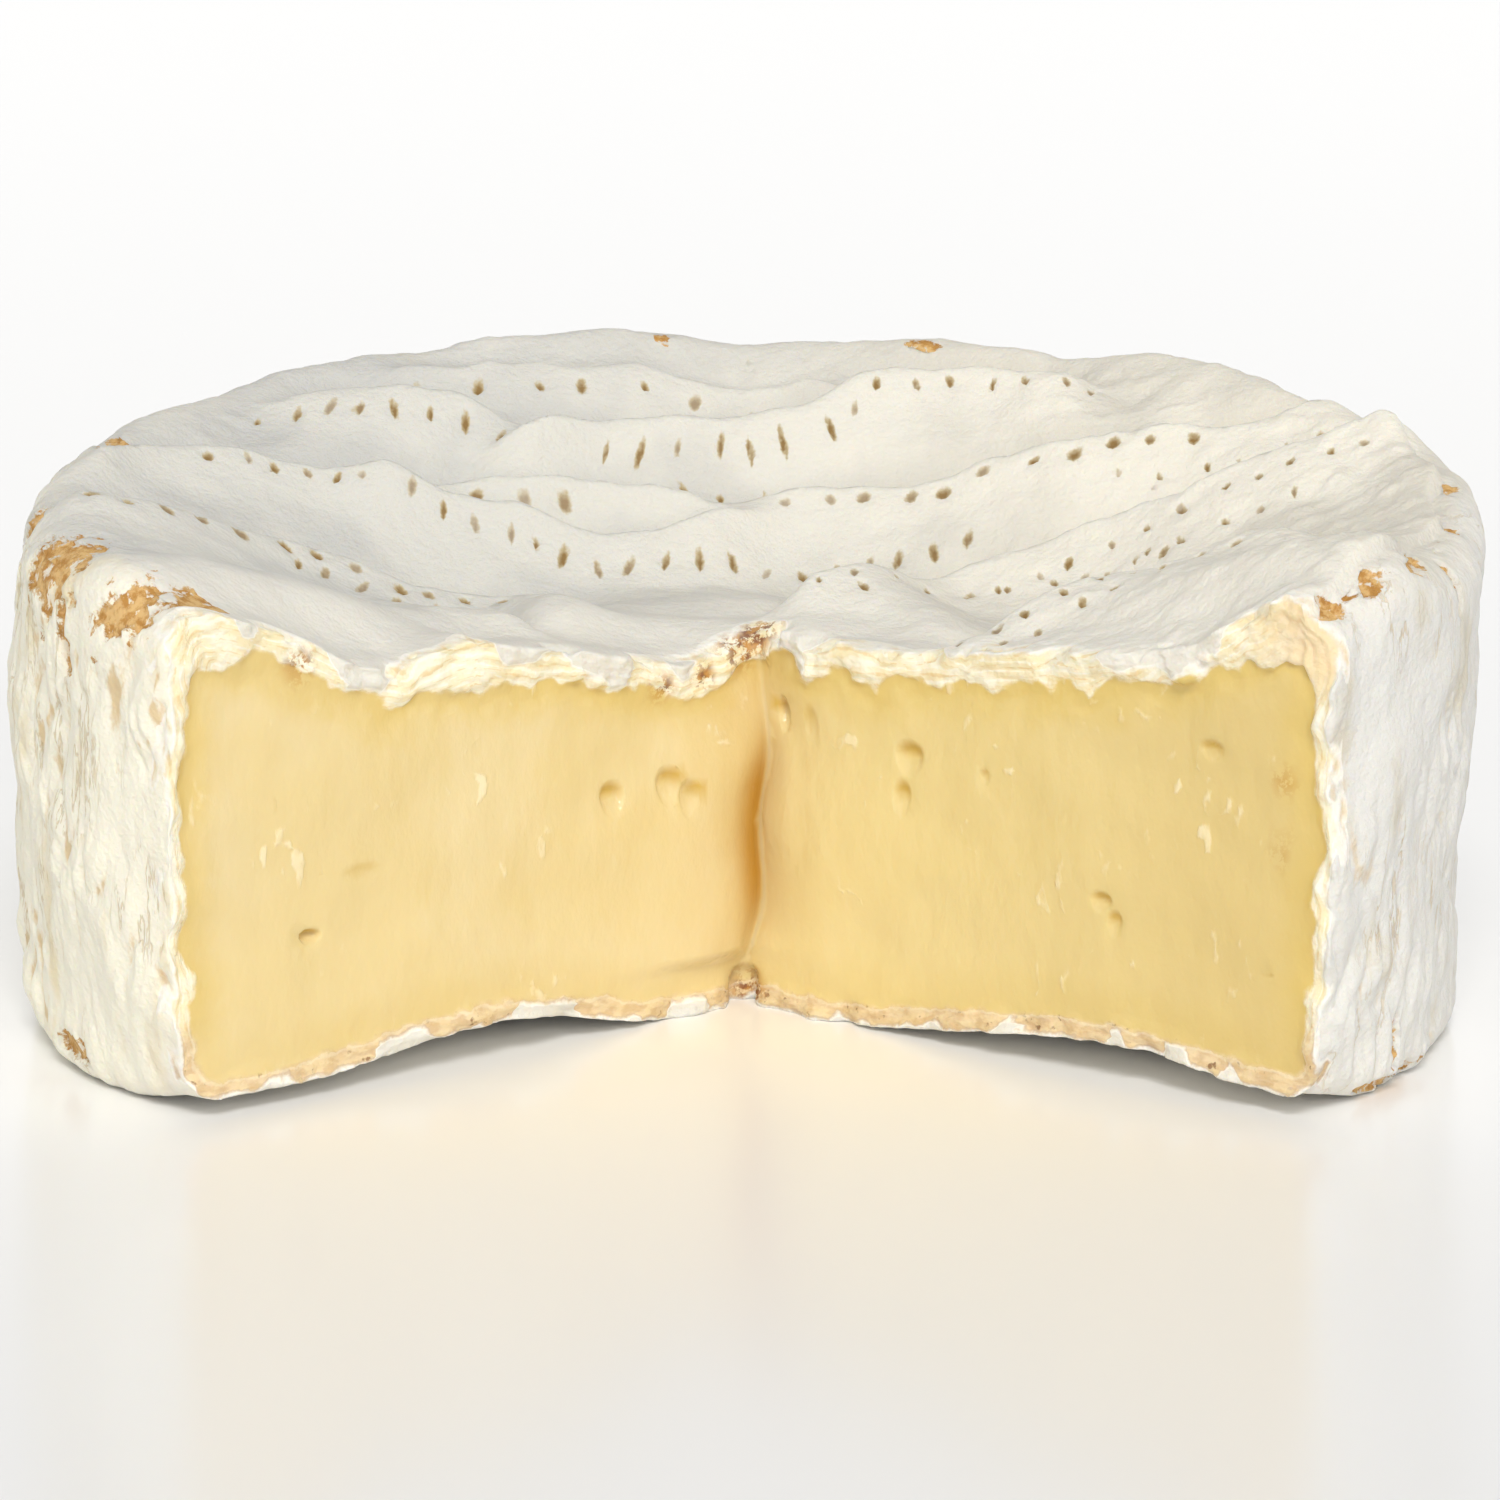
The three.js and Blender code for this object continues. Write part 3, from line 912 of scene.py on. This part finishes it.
# Pits, and patches rubbed down to the ochre rind.
pit_reach = plus(stored("pit_reach"), around_none(speckle(0.6, 3), 0.8))
pit_depth = share_of(stored("pit_depth"), 0.0, 0.9)
pit_colour = mixed(share_of(pit_reach, 0.95, 0.35), colour(198, 182, 146), colour(148, 118, 70))
felt = mixed(times(share_of(pit_reach, 1.15, 0.75), pit_depth), felt, pit_colour)
bare_now = plus(stored("rubbed"), around_none(speckle(0.7, 4, rough=0.7), 0.8))
ochre_grain = share_of(speckle(0.9, 4, rough=0.65), 0.4, 0.6)
ochre = mixed(ochre_grain, colour(188, 138, 70), colour(222, 184, 124))
bare_edge = share_of(math_of("ABSOLUTE", math_of("SUBTRACT", bare_now, 0.82)), 0.12, 0.0)
ochre = mixed(times(bare_edge, 0.3), ochre, colour(158, 112, 58))
left_white = share_of(speckle(1.3, 4, (1, 1, 0.6), 0.65), 0.55, 0.61)
bare_share = times(share_of(bare_now, 0.72, 0.84), plus(1.0, times(left_white, -0.85)))
felt = mixed(bare_share, felt, ochre)

# The torn rind, from its white outside to its cream and tan inside.
below_white = plus(stored("below_white"), around_none(speckle(1.1, 4, rough=0.6), 0.7))
band = plus(stored("band"), around_none(speckle(0.9, 4), 1.2))
torn = mixed(share_of(speckle(3, 3), 0.4, 0.6), colour(248, 241, 217), colour(243, 229, 190))
to_peak = times(share_of(across, 0.033, 0.038), share_of(upward_now, 0.029, 0.033))
lines_now = plus(1.0, times(to_peak, -0.6))
torn = mixed(times(times(share_of(band, 0.5, 1.0), 0.6), lines_now), torn, colour(230, 198, 136))
torn = mixed(times(times(share_of(band, -0.4, -0.9), 0.7), lines_now), torn, colour(253, 249, 234))
torn = mixed(times(to_peak, 0.75), torn, colour(237, 211, 166))
foot_bands = speckle(1.3, 3, (1, 1, 2.0))
foot_torn = mixed(share_of(foot_bands, 0.4, 0.6), colour(232, 206, 160), colour(214, 182, 134))
torn = mixed(times(foot_now, 0.85), torn, foot_torn)
foot_specks = times(share_of(speckle(0.8, 3), 0.63, 0.72), times(foot_now, 0.8))
torn = mixed(foot_specks, torn, colour(132, 92, 56))
crumb_now = times(stored("crumb"), share_of(speckle(1.1, 4, rough=0.7), 0.45, 0.53))
brown = mixed(share_of(speckle(0.9, 3), 0.4, 0.6), colour(196, 138, 56), colour(128, 66, 22))
torn = mixed(times(crumb_now, 0.9), torn, brown)
seam = share_of(math_of("ABSOLUTE", plus(below_white, -0.05)), 0.16, 0.03)
torn = mixed(times(seam, plus(0.1, times(foot_now, 0.45))), torn, colour(176, 132, 78))
hanging = mixed(0.85, felt, colour(250, 247, 238))
whole = mixed(share_of(below_white, -0.25, 0.25), hanging, torn)
natural = share_of(stored("below_white"), -0.28, -0.16)
whole = mixed(natural, felt, whole)

# The paste: amber next to the rind, with painted shade in the fold and under the roofs of the holes.
below_rind = plus(stored("below_rind"), around_none(speckle(1.2, 4, rough=0.6), 0.8))
left_paste = mixed(share_of(speckle(10, 2), 0.35, 0.65), colour(231, 211, 160), colour(229, 207, 150))
right_paste = mixed(share_of(across, 0.004, 0.042), colour(233, 212, 151), colour(221, 196, 130))
paste = mixed(share_of(across, -0.004, 0.01), left_paste, right_paste)
amber = times(share_of(below_rind, 4.0, 0.0), plus(0.6, times(foot_now, -0.35)))
paste = mixed(amber, paste, colour(218, 188, 100))
# Painted shade in the fold at the axis, dark amber.
paste = mixed(times(stored("fold"), 0.9), paste, colour(188, 134, 38))
# Painted shade under the roofs of the holes, dark amber.
paste = mixed(times(stored("roof"), 0.9), paste, colour(206, 166, 66))
# Whitish smears of paste: partly real smudges of the knife, partly painted wet glints.
smear_and_glint_share = share_of(plus(stored("smear"), around_none(speckle(0.6, 4, (1, 1, 0.5)), 1.4)), 0.2, 1.0)
paste = mixed(times(smear_and_glint_share, 0.55), paste, colour(250, 238, 204))
paste = mixed(times(crumb_now, 0.5), paste, colour(196, 140, 56))
paste_share = share_of(below_rind, -0.22, 0.28)
whole = mixed(paste_share, whole, paste)
# A painted highlight along the lip where the torn rind meets the paste.
painted_lip_highlight = share_of(math_of("ABSOLUTE", plus(below_rind, 0.16)), 0.16, 0.04)
whole = mixed(times(painted_lip_highlight, 0.25), whole, colour(251, 243, 216))
links.new(whole, shader.inputs["Base Color"])
dull = node("MapRange", Value=share_of(below_rind, -0.6, 0.1), To_Min=0.75, To_Max=0.2).outputs[0]
links.new(dull, shader.inputs["Roughness"])

# Fine relief: the felt's fluff outside, drag marks of the knife inside.
fluff = plus(speckle(0.5, 5, rough=0.6), times(speckle(2.0, 3), 1.6))
drags = plus(times(speckle(2.6, 4, (1, 1, 0.6)), 2.0), times(smear_and_glint_share, 0.5))
fluff = plus(fluff, times(crack_now, -0.8))
relief = mixed_value(paste_share, fluff, drags)
bump = node("Bump", Height=relief, Distance=0.22 * MM, Strength=0.6).outputs[0]
links.new(bump, shader.inputs["Normal"])
shader.inputs["Subsurface Weight"].default_value = 0.25
shader.inputs["Subsurface Radius"].default_value = (1.0, 0.65, 0.3)
shader.inputs["Subsurface Scale"].default_value = 2.2 * MM
shader.inputs["IOR"].default_value = 1.42
wheel.data.materials.append(cheese)
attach(wheel, "root")
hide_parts("cheese_wheel")


# ---- The table and the light -----------------------------------------------------------
# A plain white glossy table in a studio whose walls are lit brighter than its ceiling, with
# one broad soft lamp high in front and a weak one lower on the right.
table_size = 12.0
bpy.ops.object.select_all(action="DESELECT")
bpy.ops.mesh.primitive_plane_add(size=table_size)
table = bpy.context.object
table.name = "table"
table_finish = bpy.data.materials.new("table_finish")
table_finish.use_nodes = True
table_shader = table_finish.node_tree.nodes["Principled BSDF"]
table_shader.inputs["Base Color"].default_value = (0.99, 0.99, 0.99, 1)
table_shader.inputs["Roughness"].default_value = 0.2
table_shader.inputs["IOR"].default_value = 1.6
table.data.materials.append(table_finish)

ceiling_light = 0.32
wall_light = 1.22
wall_up_to = 0.16
ceiling_from = 0.5
room = bpy.data.worlds.new("room")
room.use_nodes = True
room_nodes = room.node_tree.nodes
room_links = room.node_tree.links
upward = room_nodes.new("ShaderNodeSeparateXYZ")
room_links.new(room_nodes.new("ShaderNodeTexCoord").outputs["Generated"], upward.inputs[0])
room_share = room_nodes.new("ShaderNodeMapRange")
room_share.interpolation_type = "SMOOTHSTEP"
room_share.inputs["From Min"].default_value = wall_up_to
room_share.inputs["From Max"].default_value = ceiling_from
room_share.inputs["To Min"].default_value = wall_light
room_share.inputs["To Max"].default_value = ceiling_light
room_links.new(upward.outputs[2], room_share.inputs["Value"])
room_links.new(room_share.outputs[0], room_nodes["Background"].inputs["Strength"])
room_nodes["Background"].inputs["Color"].default_value = (1, 1, 1, 1)
bpy.context.scene.world = room


def far_lamp(name, height, turn, strength, width):
    """A lamp so far off that its light is even: height and turn of its place, and its width."""
    bpy.ops.object.light_add(type="SUN")
    made = bpy.context.object
    made.name = name
    made.data.energy = strength
    made.data.angle = math.radians(width)
    made.data.color = (1.0, 0.985, 0.955)
    height = math.radians(height)
    turn = math.radians(turn)
    way = Vector((math.sin(turn) * math.cos(height), -math.cos(turn) * math.cos(height),
                  math.sin(height)))
    made.rotation_euler = way.to_track_quat("Z", "Y").to_euler()


far_lamp("broad_lamp", 44, 2, 1.85, 20)
far_lamp("small_lamp", 27, 24, 0.3, 5)
bpy.context.scene.view_settings.view_transform = "Standard"
